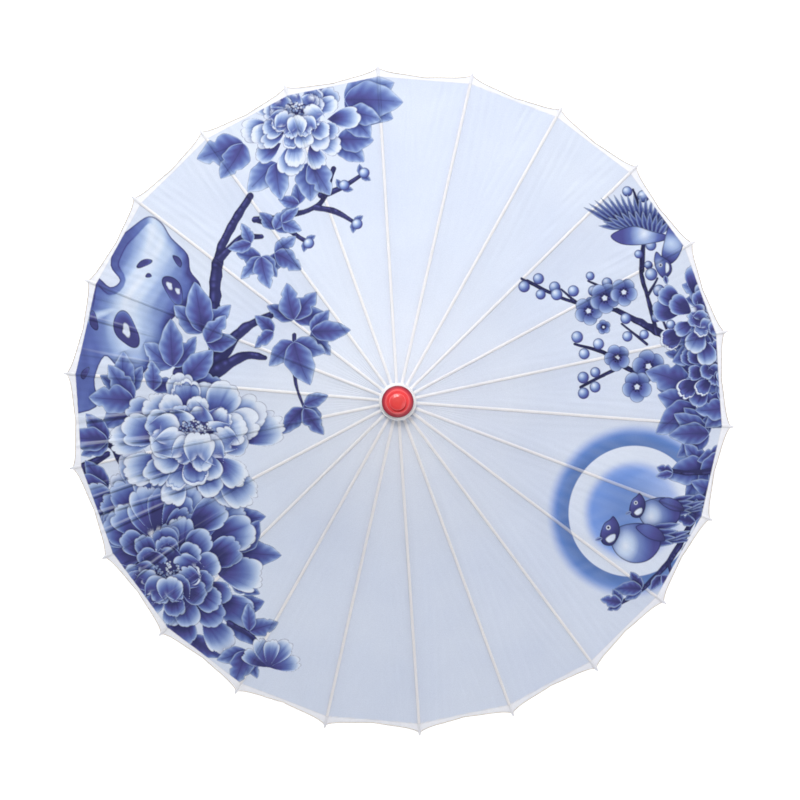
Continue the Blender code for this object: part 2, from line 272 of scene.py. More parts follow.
PEONY_RINGS = ((10, 0.42, 0.58, 0.66), (9, 0.31, 0.5, 0.72), (8, 0.2, 0.42, 0.76), (7, 0.12, 0.34, 0.78))


def peony(x, y, radius, flat, heading, tone, heart, rings=PEONY_RINGS):
    """A double peony seen from above: rings of scalloped petals round a bowl of stamens."""
    hx, hy = x + heart[0] * radius, y + heart[1] * radius
    for ring, (count, base, reach, spread) in enumerate(rings):
        share = ring / len(rings)
        cx, cy = x + (hx - x) * share, y + (hy - y) * share
        start = vary(0, 6.28)
        for k in rng.permutation(count):
            a = start + 2 * pi * (k + vary(-0.3, 0.3)) / count
            wide = 1.0 + (flat - 1.0) * abs(sin(a - heading))
            out = radius * base * wide * vary(0.85, 1.15)
            petal(cx + out * cos(a), cy + out * sin(a), a + vary(-0.35, 0.35),
                  radius * reach * wide * vary(0.85, 1.12), spread * vary(0.85, 1.2),
                  min(1.0, max(0.0, tone + vary(-0.25, 0.25) + 0.1 * share)),
                  lobes=vary(2.5, 5.0), lip=0.1 * (rng.random() < 0.2))
    cup(hx, hy, radius, flat, tone, (0.9, 1.6, 2.3, 3.0, 0.2), 0.5)
    stamens(hx, hy, radius * 0.21, flat)
    cup(hx, hy, radius, flat, tone - 0.25, (3.5, 6.0, 4.15, 5.3, 4.75), 0.46)


def cup(x, y, radius, flat, tone, turns, reach):
    """Inner petals that close over the heart, each with its base outside and its tip towards the middle."""
    for a in turns:
        out = radius * vary(0.46, 0.54)
        petal(x + out * cos(a), y + flat * out * sin(a), a + pi + vary(-0.2, 0.2),
              radius * reach * vary(0.7, 0.95), vary(0.7, 0.95), max(0.05, tone),
              lobes=vary(3.0, 5.0), shade=0.6, fade=0.55)


def stamens(x, y, radius, flat):
    """A dark heart scattered with pale anthers."""
    where, gx, gy = art.window(x, y, radius * 1.4)
    angle = np.arctan2(gy - y, gx - x)
    ragged = radius * (1 + 0.08 * np.sin(9 * angle) + 0.06 * np.sin(17 * angle + 1))
    art.lay(where, ragged - np.hypot(gx - x, (gy - y) / flat), NAVY, line=0)
    for _ in range(int(2600 * radius)):
        a = vary(0, 6.28)
        d = radius * sqrt(vary(0, 1)) * 1.02
        tint = SNOW if rng.random() < 0.55 else SKY
        dot(x + d * cos(a), y + flat * d * sin(a), vary(0.0022, 0.0046), tint)


def dot(x, y, radius, colour):
    where, gx, gy = art.window(x, y, radius * 2)
    art.lay(where, radius - np.hypot(gx - x, gy - y), colour, line=0.0009, strength=0.6)


def leaf(x, y, heading, length, width, tone, bend=0.0, notch=0.0, line=0.001):
    """A pointed leaf, deep along its middle and pale at its edge and tip."""
    where, gx, gy = art.window(x, y, length * 1.15)
    along, across = local(gx, gy, x, y, heading)
    u = along / length
    body = np.clip(u, 0, 1)
    across = across - bend * length * body**2
    side = np.sign(across)
    half = width * np.sin(pi * body**0.8) ** 0.8
    half = half * (1 - notch * bell((body - 0.62 - 0.07 * side) / 0.055))
    half = half * (1 + 0.05 * np.sin(body * 17 + side * 1.3 + heading * 3))
    slope = 1 + 0.8 * notch
    depth = np.minimum((half - np.abs(across)) / slope, np.minimum(along, length - along) + 0.002)
    depth = np.where((u < 0) | (u > 1), -1.0, depth)
    share = np.abs(across) / (half + 1e-6)
    vein = np.sin(u * 30 - share * 6) * smooth(0.1, 0.5, share)
    glow = 0.44 * share**1.6 + 0.42 * body**2.0 + 0.05 * vein + 0.06 * side * share + 0.4 - 0.4 * tone
    rim = smooth(0.0075, 0.0, depth) * 0.8
    glow = np.maximum(np.clip(glow, 0, 0.86), rim)
    colour = ramp(glow, NAVY, VIOLET, ROYAL, MID, SKY, PALE, SNOW)
    colour = blend(colour, NAVY, bell(across / 0.0018) * (body < 0.85) * 0.5)
    art.lay(where, depth, colour, line=line, strength=0.65, shade=0.5)


def leaves(x, y, heading, fan, count, length, tone, plump=0.3):
    """A fan of leaves from one stalk, the outer ones drawn first."""
    order = sorted(range(count), key=lambda k: -abs(k - (count - 1) / 2))
    for k in order:
        share = k / (count - 1) - 0.5 if count > 1 else 0.0
        reach = length * (1 - 0.35 * abs(share)) * vary(0.88, 1.08)
        turn = heading + fan * share + vary(-0.08, 0.08)
        width = reach * plump * vary(0.85, 1.12)
        deep = tone + vary(-0.18, 0.18)
        leaf(x, y, turn, reach, width, deep, vary(-0.22, 0.22), rng.choice((0.0, 0.28)))


def stroke(points, start, end, tone=0.0):
    """A branch along a smooth line through points, tapering from one half-width to the other."""
    line = curve(points)
    low, high = line.min(0), line.max(0)
    where, gx, gy = art.window(*(low + high) / 2, (high - low).max() / 2 + 3 * start)
    best = np.full(gx.shape, 9.0)
    side = np.zeros(gx.shape)
    way = np.zeros(gx.shape)
    count = len(line) - 1
    for k in range(count):
        gap, t, offset = nearest(gx, gy, line[k], line[k + 1])
        near = gap < best
        best = np.where(near, gap, best)
        side = np.where(near, offset, side)
        way = np.where(near, (k + t) / count, way)
    knots = max(4, int(np.hypot(*np.diff(line, axis=0).T).sum() / 0.02))
    places = np.linspace(0, 1, knots)
    left, right = (np.interp(way, places, vary(-1, 1, knots)) for _ in range(2))
    half = (start + (end - start) * way) * (1 + 0.2 * np.where(side > 0, left, right))
    share = side / (half + 1e-6)
    bark = np.interp(way, np.linspace(0, 1, 3 * knots), vary(0, 1, 3 * knots))
    glow = 0.12 + 0.5 * bark * bell((share - 0.35) / 0.35) - 0.1 * share + tone
    colour = ramp(glow, INK, NAVY, VIOLET, ROYAL, SKY)
    art.lay(where, half - best, colour, line=0.0012, strength=0.6, shade=0.4)


def ball(x, y, radius, tone):
    """A round bud with a light spot."""
    where, gx, gy = art.window(x, y, radius * 1.6)
    dx, dy = (gx - x) / radius, (gy - y) / radius
    lit = 1 - np.hypot(dx + 0.3, dy - 0.32) / 1.25
    colour = ramp(1.05 * lit + 0.1 - 0.25 * tone, VIOLET, ROYAL, MID, SKY, PALE, SNOW)
    art.lay(where, (1 - np.hypot(dx, dy)) * radius, colour, line=0.0022, line_colour=NAVY, shade=0.4)


def blossom(x, y, radius, turn, tone):
    """A five-petalled plum blossom."""
    for k in range(5):
        a = turn + 2 * pi * k / 5
        px, py = x + 0.58 * radius * cos(a), y + 0.58 * radius * sin(a)
        where, gx, gy = art.window(px, py, radius * 0.8)
        along, across = local(gx, gy, px, py, a)
        depth = radius * 0.45 - np.hypot(along * 1.05, across * 0.92)
        far = np.hypot(gx - x, gy - y) / radius
        colour = ramp(far**1.2 * 1.02 - 0.22 * (tone - 0.5), INK, VIOLET, ROYAL, MID, SKY, PALE)
        art.lay(where, depth, colour, line_colour=NAVY, strength=0.7, shade=0.45)
    for k in range(9):
        a = turn + 2 * pi * k / 9
        dot(x + 0.3 * radius * cos(a), y + 0.3 * radius * sin(a), 0.0022, INK)


def twig(points, half, sizes):
    """A twig with round buds set alternately along it."""
    stroke(points, half, half * 0.6, tone=-0.12)
    line = curve(points)
    way = (line[-1] - line[0]) / (np.linalg.norm(line[-1] - line[0]) + 1e-9)
    for n, size in enumerate(sizes):
        spot = line[(n + 1) * (len(line) - 1) // len(sizes)]
        offset = np.array((-way[1], way[0])) * (1 if n % 2 else -1) * size * 1.2
        ball(*(spot + offset), size, vary(0.1, 0.8))


def hollow(x, y, wide, tall, turn, openings=()):
    """A worn hollow in a stone: dark on its lit side, with a pale far lip, and openings right through it."""
    where, gx, gy = art.window(x, y, max(wide, tall) * 1.6)
    along, across = local(gx, gy, x, y, turn)
    angle = np.arctan2(across / tall, along / wide)
    start = vary(0, 6.28)
    ragged = 1 + 0.14 * np.sin(2 * angle + start) + 0.09 * np.sin(3 * angle)
    reach = np.hypot(along / wide, across / tall) * ragged
    lit = smooth(-0.6, 1.1, (along - across) / wide)
    colour = ramp(0.1 + 0.8 * lit * reach**2, NAVY, VIOLET, ROYAL, SKY)
    art.lay(where, (1 - reach) * min(wide, tall), colour, line=0.0016, strength=0.8)
    for *place, wide, tall in openings:
        hx, hy = from_shape(x, y, turn, 1.0)(*place)
        where, gx, gy = art.window(hx, hy, max(wide, tall) * 1.6)
        along, across = local(gx, gy, hx, hy, turn)
        angle = np.arctan2(across, along)
        ragged = 1 + 0.15 * np.sin(2 * angle + 1) + 0.1 * np.sin(3 * angle)
        reach = np.hypot(along / wide, across / tall) * ragged
        art.lay(where, (1 - reach) * min(wide, tall), WHITE, line=0.001, strength=0.5)


ROCK = (
    (-0.74, 0.545), (-0.7, 0.525), (-0.67, 0.48), (-0.62, 0.43), (-0.61, 0.38), (-0.58, 0.34),
    (-0.585, 0.3), (-0.64, 0.26), (-0.68, 0.215), (-0.665, 0.18), (-0.71, 0.13), (-0.765, 0.07),
    (-0.83, 0.1), (-0.87, 0.13), (-0.9, 0.06), (-0.895, -0.02), (-1.0, -0.03), (-0.99, 0.12),
    (-0.955, 0.24), (-0.93, 0.3), (-0.9, 0.365), (-0.855, 0.335), (-0.825, 0.355), (-0.855, 0.4),
    (-0.838, 0.47), (-0.79, 0.515),
)


def rock():
    """A weathered garden stone with hollows worn through it."""
    where, gx, gy, depth = outlined(ROCK, 4)
    crest = gx - (-0.78 + 0.22 * (gy - 0.3) + 0.02 * np.sin(gy * 17))
    grain = 0.04 * np.sin(crest * 150 + 6 * np.sin(gy * 9)) * np.sin(gy * 23 + crest * 11)
    body = bell(crest / np.where(crest > 0, 0.095, 0.06))
    glow = 0.16 + 0.78 * body * (1 - 0.7 * smooth(0.22, 0.04, gy)) + grain
    glow = glow - 0.3 * smooth(0.035, 0.0, depth) * smooth(-0.03, 0.06, crest)
    flank = smooth(0.0, -0.03, crest) * smooth(0.25, 0.31, gy)
    lip = depth - 0.024 - 0.008 * np.sin(gy * 31)
    glow = glow * (1 - 0.55 * flank * smooth(0.002, -0.004, lip))
    glow = glow - 0.25 * flank * bell(lip / 0.0022)
    ledge = bell((gy - 0.265 - 0.3 * (gx + 0.85)) / 0.016) * smooth(-0.72, -0.8, gx)
    glow = np.maximum(glow, 0.8 * ledge)
    colour = ramp(glow, NAVY * 1.4, ROYAL, MID, SKY, PALE, SNOW)
    art.lay(where, depth, colour, line=0.0028, line_colour=NAVY, strength=0.9)
    for spot in (
        (-0.805, 0.21, 0.052, 0.036, 1.9, ((-0.004, 0.0, 0.026, 0.01),)),
        (-0.662, 0.326, 0.044, 0.026, -0.9,
         ((0.012, 0.008, 0.012, 0.006), (-0.016, -0.002, 0.016, 0.007))),
        (-0.752, 0.405, 0.022, 0.012, 0.4), (-0.738, 0.368, 0.011, 0.006, 0.1),
        (-0.65, 0.41, 0.024, 0.008, -1.0), (-0.905, 0.235, 0.027, 0.014, 1.9),
        (-0.93, 0.08, 0.02, 0.01, 1.2),
    ):
        hollow(*spot)


def moon(x, y, radius):
    """A hazy full moon: a soft blue disc in a white ring with a blue halo."""
    where, gx, gy = art.window(x, y, radius * 1.2)
    r = np.hypot(gx - x, gy - y) / radius
    halo = smooth(1.01, 0.86, r) * smooth(0.737, 0.745, r)
    disc = smooth(0.61, 0.46, r) * (0.9 - 0.4 * smooth(-0.1, 0.6, (gx - x) / radius))
    wash = 1 - 0.03 * (1 + np.sin(gx * 60 + 4 * np.sin(gy * 45)))
    ring = 0.55 * smooth(0.745, 0.73, r) * smooth(0.52, 0.64, r)
    halo_blue = ramp(smooth(0.98, 0.76, r), HAZE * 1.6, HAZE)
    disc_blue = ramp(smooth(0.6, 0.1, r), HAZE * 1.7, HAZE * 1.25)
    for tint, colour in ((halo * 0.96 * wash, halo_blue), (disc * wash, disc_blue), (ring, SNOW)):
        art.rgb[where] = blend(art.rgb[where], colour, tint)


def plumage(at, points, colours, light, line, heading=0.0):
    """Part of a bird, in its own units. light is where the part is palest, and how far that spreads."""
    size = dist(at(1, 0), at(0, 0))
    where, gx, gy, depth = outlined([at(*p) for p in points])
    along, across = local(gx, gy, *at(*light[:2]), heading)
    lit = np.clip(1 - np.hypot(along, 0.8 * across) / (size * light[2]), 0, 1)
    art.lay(where, depth, ramp(lit, *colours), line=line, strength=0.85, shade=0.3)


def eye(spot, ring, pupil):
    dot(*spot, ring, SNOW)
    dot(*spot, pupil, INK)


def sitting_bird(x, y, size, lean):
    """A small plump crested bird seen from the side, facing left."""
    at = from_shape(x, y, lean, size)
    for turn in (-0.1, 0.06, 0.2):
        leaf(*at(0.75, 0.05), lean + turn, size * 1.15, size * 0.11, 1.0)
    for k in range(4):
        place, turn = at(0.35, 0.42 - 0.14 * k), lean + 0.1 - 0.08 * k
        leaf(*place, turn, size * (1.15 - 0.08 * k), size * 0.13, 0.95)
    body = ((-0.92, 0.1), (-0.7, -0.38), (-0.2, -0.68), (0.38, -0.62), (0.78, -0.2), (0.72, 0.3),
            (0.3, 0.62), (-0.3, 0.66), (-0.75, 0.5))
    plumage(at, body, (VIOLET, ROYAL, MID, PALE, SNOW), (-0.42, -0.08, 0.98), 0.0022)
    wing = ((-0.05, 0.52), (0.4, 0.1), (0.95, -0.02), (0.8, 0.38), (0.35, 0.62))
    plumage(at, wing, (NAVY, VIOLET, ROYAL), (0.3, 0.5, 0.7), 0.0018)
    head = ((-1.28, 0.3), (-1.16, 0.02), (-0.85, -0.02), (-0.62, 0.3), (-0.6, 0.62), (-0.78, 0.95),
            (-0.92, 0.86), (-1.14, 0.7))
    plumage(at, head, (NAVY, VIOLET, ROYAL), (-1.1, 0.7, 0.5), 0.002)
    cheek = ((-1.1, 0.2), (-0.98, 0.06), (-0.78, 0.14), (-0.74, 0.34), (-0.92, 0.34))
    plumage(at, cheek, (PALE, SNOW), (-1.0, 0.2, 0.5), 0.0014)
    leaf(*at(-1.2, 0.24), lean + pi + 0.2, size * 0.26, size * 0.07, 1.1)
    eye(at(-0.98, 0.58), size * 0.085, size * 0.045)


def flying_bird(x, y, size):
    """A bird swooping down to the left, with one wing spread behind it."""
    at = from_shape(x, y, 0.0, size)
    for count, tone, first, sweep, near, far in (
        (17, 0.78, 163, 105, 0.6324, 1.1904), (12, 0.66, 186, 122, 0.429, 0.715),
    ):
        for k in range(count):
            share = k / (count - 1)
            base = at(-0.1 - 0.85 * (1 - share), 0.1 + 0.22 * (1 - share))
            reach = size * (near + (far - near) * (1 - share) ** 0.8)
            turn = radians(first - sweep * share)
            leaf(*base, turn, reach, size * 0.075, tone, -0.12, line=0.0014)
    arm = ((-1.35, 0.1), (-1.1, -0.12), (-0.6, -0.14), (0.02, -0.02), (0.1, 0.12), (-0.3, 0.22),
           (-0.8, 0.34))
    plumage(at, arm, (VIOLET, ROYAL, SKY, SNOW), (-0.5, 0.16, 0.55), 0.0018, -0.2)
    body = ((0.26, 0.72), (0.5, 0.36), (0.52, -0.05), (0.36, -0.45), (0.12, -0.62), (-0.06, -0.42),
            (0.02, 0.0), (0.14, 0.4))
    plumage(at, body, (NAVY, VIOLET, ROYAL, SKY, PALE), (0.2, -0.1, 0.55), 0.002, 1.3)
    leaf(*at(0.28, 0.55), 1.05, size * 0.42, size * 0.09, 1.0)
    head = ((-0.2, -0.3), (-0.05, -0.42), (0.16, -0.56), (0.2, -0.8), (0.02, -0.98), (-0.16, -0.84),
            (-0.26, -0.56))
    plumage(at, head, (NAVY, VIOLET, ROYAL, SKY), (-0.14, -0.6, 0.4), 0.002)
    cheek = ((0.04, -0.58), (0.13, -0.62), (0.13, -0.78), (0.04, -0.84))
    plumage(at, cheek, (PALE, SNOW), (0.06, -0.68, 0.3), 0.0012)
    leaf(*at(0.02, -0.9), -1.35, size * 0.24, size * 0.07, 1.1)
    eye(at(-0.09, -0.64), size * 0.05, size * 0.028)


def strokes(routes, tone=0):
    """Several branches. Each route is its points, then its half-widths at its start and end."""
    for *points, start, end in routes:
        stroke(points, start, end, tone)


def sprays(rows, tone, plump=0.3):
    for row in rows:
        leaves(*row, tone=tone, plump=plump)


def paint_top_left():
    """The stone, and the branches that rise behind it to the upper peony."""
    rock()
    strokes((
        ((-0.53, 0.14), (-0.535, 0.32), (-0.515, 0.46), (-0.435, 0.6), 0.021, 0.011),
        ((-0.52, 0.42), (-0.46, 0.475), (-0.4, 0.48), 0.012, 0.007),
        ((-0.42, 0.53), (-0.33, 0.5), (-0.27, 0.465), 0.008, 0.006),
        ((-0.42, 0.53), (-0.33, 0.54), (-0.23, 0.575), (-0.19, 0.68), 0.009, 0.007),
        ((-0.225, 0.6), (-0.17, 0.62), (-0.11, 0.66), 0.01, 0.006),
        ((-0.24, 0.565), (-0.18, 0.55), (-0.13, 0.52), 0.01, 0.006),
    ))
    for x, y, heading in ((-0.11, 0.66, 0.6), (-0.13, 0.52, -0.5), (-0.27, 0.465, -0.6), (-0.165, 0.62, 1)):
        leaf(x, y, heading + 1.1, 0.034, 0.01, 0.6)
        leaf(x, y, heading - 1.1, 0.034, 0.01, 0.6)
        ball(x + 0.012 * cos(heading), y + 0.012 * sin(heading), 0.016, 0.3)
    sprays((
        (-0.36, 0.5, 1.2, 2, 3, 0.085), (-0.36, 0.43, -0.4, 2.2, 3, 0.095),
        (-0.4, 0.42, -1.9, 2.4, 4, 0.1), (-0.43, 0.46, 2.7, 1.6, 2, 0.08),
        (-0.29, 0.575, 2.3, 1.2, 2, 0.075), (-0.34, 0.52, 0.2, 1.4, 2, 0.08),
    ), 0.6)
    sprays((
        (-0.46, 0.76, 3.9, 0.9, 2, 0.165), (-0.36, 0.7, -2, 0.8, 2, 0.15),
        (-0.26, 0.7, -1.3, 0.6, 2, 0.14), (-0.18, 0.77, -0.35, 0.7, 2, 0.125),
        (-0.16, 0.89, 0.05, 0.8, 3, 0.185), (-0.15, 0.85, -0.45, 0.7, 2, 0.13),
    ), 0.62, 0.34)
    peony(-0.295, 0.815, 0.19, flat=0.82, heading=0.2, tone=0.2, heart=(-0.05, 0.18))


def paint_left():
    """The forked branch with its leaves, and the two great peonies below it."""
    strokes((
        ((-0.64, 0.08), (-0.53, 0.115), (-0.46, 0.2), (-0.37, 0.25), 0.026, 0.01),
        ((-0.54, 0.08), (-0.45, 0.13), (-0.385, 0.125), 0.02, 0.008),
        ((-0.3, 0.19), (-0.295, 0.06), (-0.27, -0.02), 0.006, 0.004),
    ))
    sprays((
        (-0.3, 0.235, 1.5, 2.4, 4, 0.12), (-0.25, 0.2, 0.1, 1.8, 3, 0.11),
        (-0.3, 0.17, -1.4, 2.2, 3, 0.125), (-0.36, 0.2, 3, 1.4, 2, 0.095),
        (-0.27, -0.01, -0.3, 1.4, 2, 0.105), (-0.27, -0.02, -1.7, 1.3, 2, 0.115),
        (-0.57, 0.2, 1.75, 1.5, 3, 0.15), (-0.56, 0.17, 0.5, 1.2, 2, 0.115),
        (-0.66, 0.1, 1.7, 1.8, 3, 0.15), (-0.62, 0.06, 0.4, 1.2, 2, 0.14),
        (-0.8, 0.02, 1.9, 1.6, 3, 0.115), (-0.78, 0, 3.1, 1.8, 3, 0.15),
        (-0.72, 0.03, 1, 1, 2, 0.12),
    ), 0.8)
    strokes((
        ((-0.98, -0.14), (-0.92, -0.11), (-0.85, -0.13), (-0.82, -0.18), 0.016, 0.012),
        ((-0.97, -0.24), (-0.93, -0.2), (-0.86, -0.16), 0.024, 0.01),
    ))
    sprays((
        (-0.86, -0.26, 3.3, 1.9, 3, 0.14), (-0.86, -0.12, 3, 1.6, 3, 0.12),
        (-0.9, -0.36, 3.4, 1.6, 3, 0.12), (-0.5, -0.34, -0.6, 1, 2, 0.13),
    ), 0.95)
    for count, out, reach, tone in ((13, 0.115, 0.165, 0.55), (12, 0.07, 0.15, 0.8), (11, 0.02, 0.15, 0.95)):
        for k in range(count):
            a = 3.9 - 0.3 * k + vary(-0.1, 0.1)
            far = out + 0.02 * (k % 2)
            x, y = -0.71 + far * cos(a), -0.43 + far * sin(a)
            petal(x, y, a + vary(-0.2, 0.2), reach * vary(0.85, 1.1), 0.62, tone + vary(-0.2, 0.1), fade=0.3)
    sprays((
        (-0.47, -0.44, 0.35, 0.9, 2, 0.15), (-0.5, -0.62, -0.2, 1.2, 2, 0.15),
        (-0.62, -0.7, -1.4, 1.2, 2, 0.13), (-0.84, -0.5, 3.5, 1.4, 3, 0.14),
        (-0.8, -0.62, 3.9, 1.4, 3, 0.13), (-0.49, -0.53, -0.1, 0.8, 2, 0.12),
    ), 1.05)
    for x, y, heading, length in (
        (-0.56, -0.41, 0.25, 0.15), (-0.54, -0.5, -0.1, 0.15), (-0.55, -0.58, -0.5, 0.14),
        (-0.58, -0.64, -0.9, 0.13), (-0.62, -0.38, 0.6, 0.14),
    ):
        petal(x, y, heading, length, 0.7, 0.55, lobes=4.5)
    peony(-0.67, -0.535, 0.225, flat=0.86, heading=0.5, tone=1, heart=(-0.06, 0.08))
    peony(-0.6, -0.125, 0.284, flat=0.76, heading=0, tone=0.18, heart=(0.02, 0.08))
    stroke(((-0.5, -0.66), (-0.44, -0.69), (-0.4, -0.74)), 0.01, 0.006)
    leaves(-0.44, -0.68, 0.9, 1.2, 2, 0.11, tone=0.75)
    leaves(-0.45, -0.74, -1.9, 1.6, 3, 0.11, tone=0.8)
    for turn, reach in ((2.6, 0.09), (0.2, 0.1), (1.9, 0.095), (0.9, 0.105), (1.4, 0.09)):
        petal(-0.385, -0.79, turn, reach, 0.5, 0.55, lobes=3)


def paint_plum():
    """A plum branch with buds and blossom, reaching in from the right."""
    trunk = ((0.98, 0.02), (0.88, 0.12), (0.8, 0.18), (0.73, 0.22), (0.64, 0.265))
    stroke(trunk, 0.022, 0.008, tone=-0.04)
    strokes((
        ((0.64, 0.265), (0.52, 0.285), (0.44, 0.315), (0.358, 0.354), 0.006, 0.004),
        ((0.76, 0.2), (0.735, 0.3), (0.715, 0.38), (0.722, 0.46), 0.008, 0.005),
        ((0.9, 0.02), (0.78, 0.055), (0.68, 0.09), (0.6, 0.14), (0.513, 0.165), 0.011, 0.004),
        ((0.65, 0.1), (0.59, 0.07), (0.53, 0.04), 0.006, 0.004),
    ), -0.1)
    for x, y, tip_x, tip_y, buds in (
        (0.47, 0.3, 0.375, 0.35, 4), (0.72, 0.38, 0.726, 0.46, 3), (0.735, 0.31, 0.765, 0.36, 2),
        (0.6, 0.14, 0.515, 0.165, 3), (0.6, 0.075, 0.53, 0.04, 4), (0.73, 0.165, 0.655, 0.225, 3),
        (0.62, 0.32, 0.555, 0.35, 3), (0.8, 0.185, 0.775, 0.25, 2), (0.715, 0.57, 0.695, 0.625, 2),
        (0.52, 0.285, 0.475, 0.325, 2),
    ):
        twig(((x, y), (tip_x, tip_y)), 0.005, vary(0.013, 0.019, buds))
    for x, y, size in (
        (0.555, 0.262, 0.043), (0.604, 0.3, 0.046), (0.662, 0.318, 0.042), (0.64, 0.125, 0.04),
        (0.735, 0.1, 0.05), (0.7, 0.04, 0.046), (0.6, 0.215, 0.022),
    ):
        blossom(x, y, size, vary(0, 1.2), vary(0.4, 0.8))


def paint_right():
    """The moon with a pair of birds, below peonies at the right-hand edge."""
    moon(0.691, -0.327, 0.262)
    paint_plum()
    sprays((
        (0.86, 0.04, 2.7, 1.3, 3, 0.135), (0.88, -0.02, 3.5, 1.2, 3, 0.14), (0.92, -0.1, 2.9, 1.6, 4, 0.14),
        (0.92, -0.2, 3.2, 1.4, 3, 0.13), (0.86, 0.13, 2.7, 0.8, 2, 0.09), (0.98, -0.06, 2.3, 1.6, 3, 0.11),
        (0.98, -0.16, 3.9, 1.6, 3, 0.12), (0.97, -0.28, 2.9, 1.4, 3, 0.11), (0.93, 0.16, 3.3, 1.8, 4, 0.13),
        (0.97, 0.06, 3.2, 2.2, 5, 0.13), (0.98, -0.02, 3, 2, 4, 0.11), (0.94, 0.3, 2.6, 1.6, 3, 0.12),
        (0.98, -0.38, 2.9, 1.2, 3, 0.1),
    ), 1)
    small = ((8, 0.4, 0.62, 0.74), (7, 0.26, 0.52, 0.8), (6, 0.12, 0.42, 0.85))
    peony(0.93, 0.09, 0.118, flat=1, heading=1.2, tone=1, heart=(0.3, 0.1), rings=small)
    peony(0.89, 0.245, 0.14, flat=1, heading=1.2, tone=0.88, heart=(0.3, 0.1), rings=small)
    perch = ((0.98, -0.2), (0.9, -0.3), (0.85, -0.4), (0.8, -0.48), (0.72, -0.56), (0.65, -0.605))
    stroke(perch, 0.012, 0.006)
    stroke(((0.8, -0.48), (0.81, -0.53), (0.79, -0.57)), 0.006, 0.004, tone=-0.08)
    stroke(((0.96, -0.21), (0.86, -0.215), (0.79, -0.205)), 0.01, 0.005, tone=-0.06)
    sprays((
        (0.81, -0.215, 3.1, 0.6, 2, 0.06), (0.87, -0.42, -1.2, 1.6, 3, 0.09),
        (0.72, -0.56, 2.9, 1.4, 3, 0.075), (0.66, -0.6, 2.9, 1.6, 3, 0.065),
        (0.78, -0.52, -1.6, 1.6, 2, 0.07), (0.92, -0.3, 3.6, 1, 2, 0.1),
        (0.88, -0.36, 2.3, 1.4, 2, 0.08),
    ), 1)
    sitting_bird(0.775, -0.335, 0.074, 0.12)
    sitting_bird(0.705, -0.42, 0.088, 0.05)
    flying_bird(0.785, 0.475, 0.118)


paint_top_left()
paint_left()
paint_right()


def sample(x, y):
    """The print's colour at points in metres, read between cells."""
    col = np.clip((x / R + SPAN) / CELL - 0.5, 0, CELLS - 1.001)
    row = np.clip((y / R + SPAN) / CELL - 0.5, 0, CELLS - 1.001)
    c, r = col.astype(int), row.astype(int)
    low = blend(art.rgb[r, c], art.rgb[r, c + 1], col - c)
    high = blend(art.rgb[r + 1, c], art.rgb[r + 1, c + 1], col - c)
    return blend(low, high, row - r)


# ---- materials


class Shader:
    """A material's node tree. Each call adds a node and links what it is given."""

    def __init__(self, name):
        self.material = bpy.data.materials.new(name)
        self.material.use_nodes = True
        self.tree = self.material.node_tree
        self.shader = self.tree.nodes["Principled BSDF"]

    def add(self, kind, **settings):
        node = self.tree.nodes.new("ShaderNode" + kind)
        for key, value in settings.items():
            setattr(node, key, value)
        return node

    def put(self, socket, value):
        if isinstance(value, bpy.types.NodeSocket):
            self.tree.links.new(value, socket)
        elif socket.type == "RGBA":
            socket.default_value = (*value, 1.0)
        else:
            socket.default_value = value

    def fill(self, node, **values):
        """Sets or links a node's inputs by name, with _ for a space."""
        for name, value in values.items():
            self.put(node.inputs[name.replace("_", " ")], value)

    def points(self, scale=(1, 1, 1)):
        mapping = self.add("Mapping")
        self.fill(mapping, Vector=self.add("TexCoord").outputs["Object"], Scale=scale)
        return mapping.outputs["Vector"]

    def noise(self, scale, detail=3.0, stretch=(1, 1, 1), rough=0.5):
        node = self.add("TexNoise")
        self.fill(node, Vector=self.points(stretch), Scale=scale, Detail=detail, Roughness=rough)
        return node.outputs["Fac"]

    def ramp(self, value, stops):
        node = self.add("ValToRGB")
        self.put(node.inputs["Fac"], value)
        marks = node.color_ramp.elements
        while len(marks) < len(stops):
            marks.new(0.5)
        for mark, (place, colour) in zip(marks, stops):
            mark.position = place
            mark.color = (*colour, 1.0)
        return node.outputs["Color"]

    def maths(self, operation, a, b=0.0, c=0.0):
        node = self.add("Math", operation=operation)
        for socket, value in zip(node.inputs, (a, b, c)):
            self.put(socket, value)
        return node.outputs[0]

    def multiply(self, a, b):
        """The product of two colours. A Mix node's colour sockets are its inputs 6 and 7 and its output 2."""
        node = self.add("Mix", data_type="RGBA", blend_type="MULTIPLY")
        for place, value in ((0, 1.0), (6, a), (7, b)):
            self.put(node.inputs[place], value)
        return node.outputs[2]

    def bump(self, height, strength, distance, normal=None):
        node = self.add("Bump")
        self.fill(node, Strength=strength, Distance=distance, Height=height)
        if normal is not None:
            self.put(node.inputs["Normal"], normal)
        return node.outputs["Normal"]

    def set(self, **values):
        self.fill(self.shader, **values)
        return self.material


